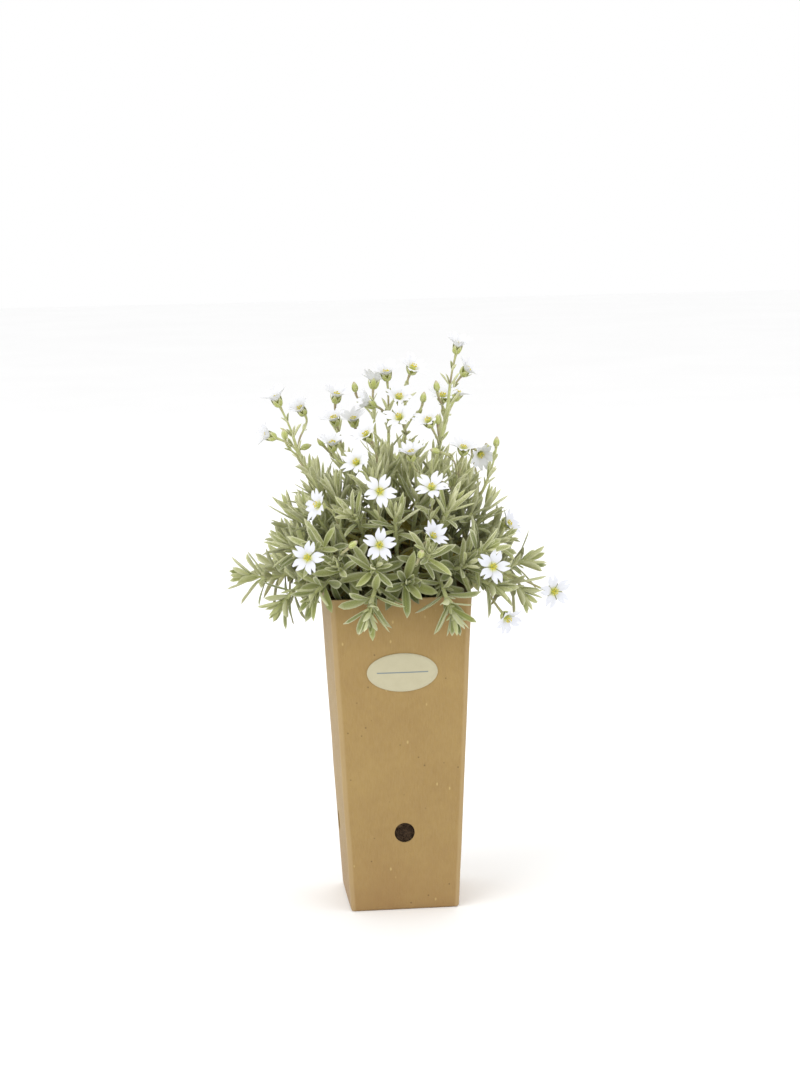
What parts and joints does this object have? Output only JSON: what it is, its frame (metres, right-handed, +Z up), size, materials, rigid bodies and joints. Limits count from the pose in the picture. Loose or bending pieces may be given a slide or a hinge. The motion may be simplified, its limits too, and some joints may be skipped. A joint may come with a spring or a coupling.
{
  "type": "potted snow-in-summer",
  "caption": "Mound of silver-grey leafy shoots with white notched flowers on thin forked stems, growing in soil in a tall tapered square kraft-board pot.",
  "frame": {"origin": "centre of the pot's flat base, on the surface that it stands on", "axes": "+Z up through the pot and the plant, -Y out of the side that bears the label, +X to the right of someone who looks at that side"},
  "size_m": [0.1946, 0.166, 0.3261],
  "materials": {
    "kraft_card": "matte speckled kraft board",
    "label_paper": "matte paper",
    "soil": "rough crumbly peat",
    "leaf": "soft, felted with fine white hairs",
    "stem": "soft, finely hairy",
    "petal": "thin and matte"
  },
  "bodies": {
    "root": {"carton": "kraft_card", "label": "label_paper", "soil": "soil", "tuft_01": "leaf", "tuft_02": "leaf", "tuft_03": "leaf", "tuft_04": "leaf", "tuft_05": "leaf", "tuft_06": "leaf", "tuft_07": "leaf", "tuft_08": "leaf", "tuft_09": "leaf", "tuft_10": "leaf", "spray_left": "stem", "spray_left_back": "stem", "spray_mid_left": "stem", "spray_back": "stem", "spray_centre": "stem", "spray_tall": "stem", "spray_top": "stem", "spray_right_back": "stem", "spray_mid_right": "stem", "spray_right": "stem", "spray_front_left": "stem", "spray_front": "stem", "spray_front_right": "stem", "spray_low_right": "stem", "bloom_01": "petal", "bloom_02": "petal", "bloom_03": "petal", "bloom_04": "petal", "bloom_05": "petal", "bloom_06": "petal", "bloom_07": "petal", "bloom_08": "petal", "bloom_09": "petal", "bloom_10": "petal", "bloom_11": "petal", "bloom_12": "petal", "bloom_13": "petal", "bloom_14": "petal", "bloom_15": "petal", "bloom_16": "petal", "bloom_17": "petal", "bloom_18": "petal", "bloom_19": "petal", "bloom_20": "petal", "bloom_21": "petal", "bloom_22": "petal", "bloom_23": "petal", "bloom_24": "petal", "bloom_25": "petal", "bloom_26": "petal", "bloom_27": "petal", "bloom_28": "petal", "bloom_29": "petal", "bloom_30": "petal", "bloom_31": "petal", "bloom_32": "petal", "bloom_33": "petal"}
  },
  "joints": []
}
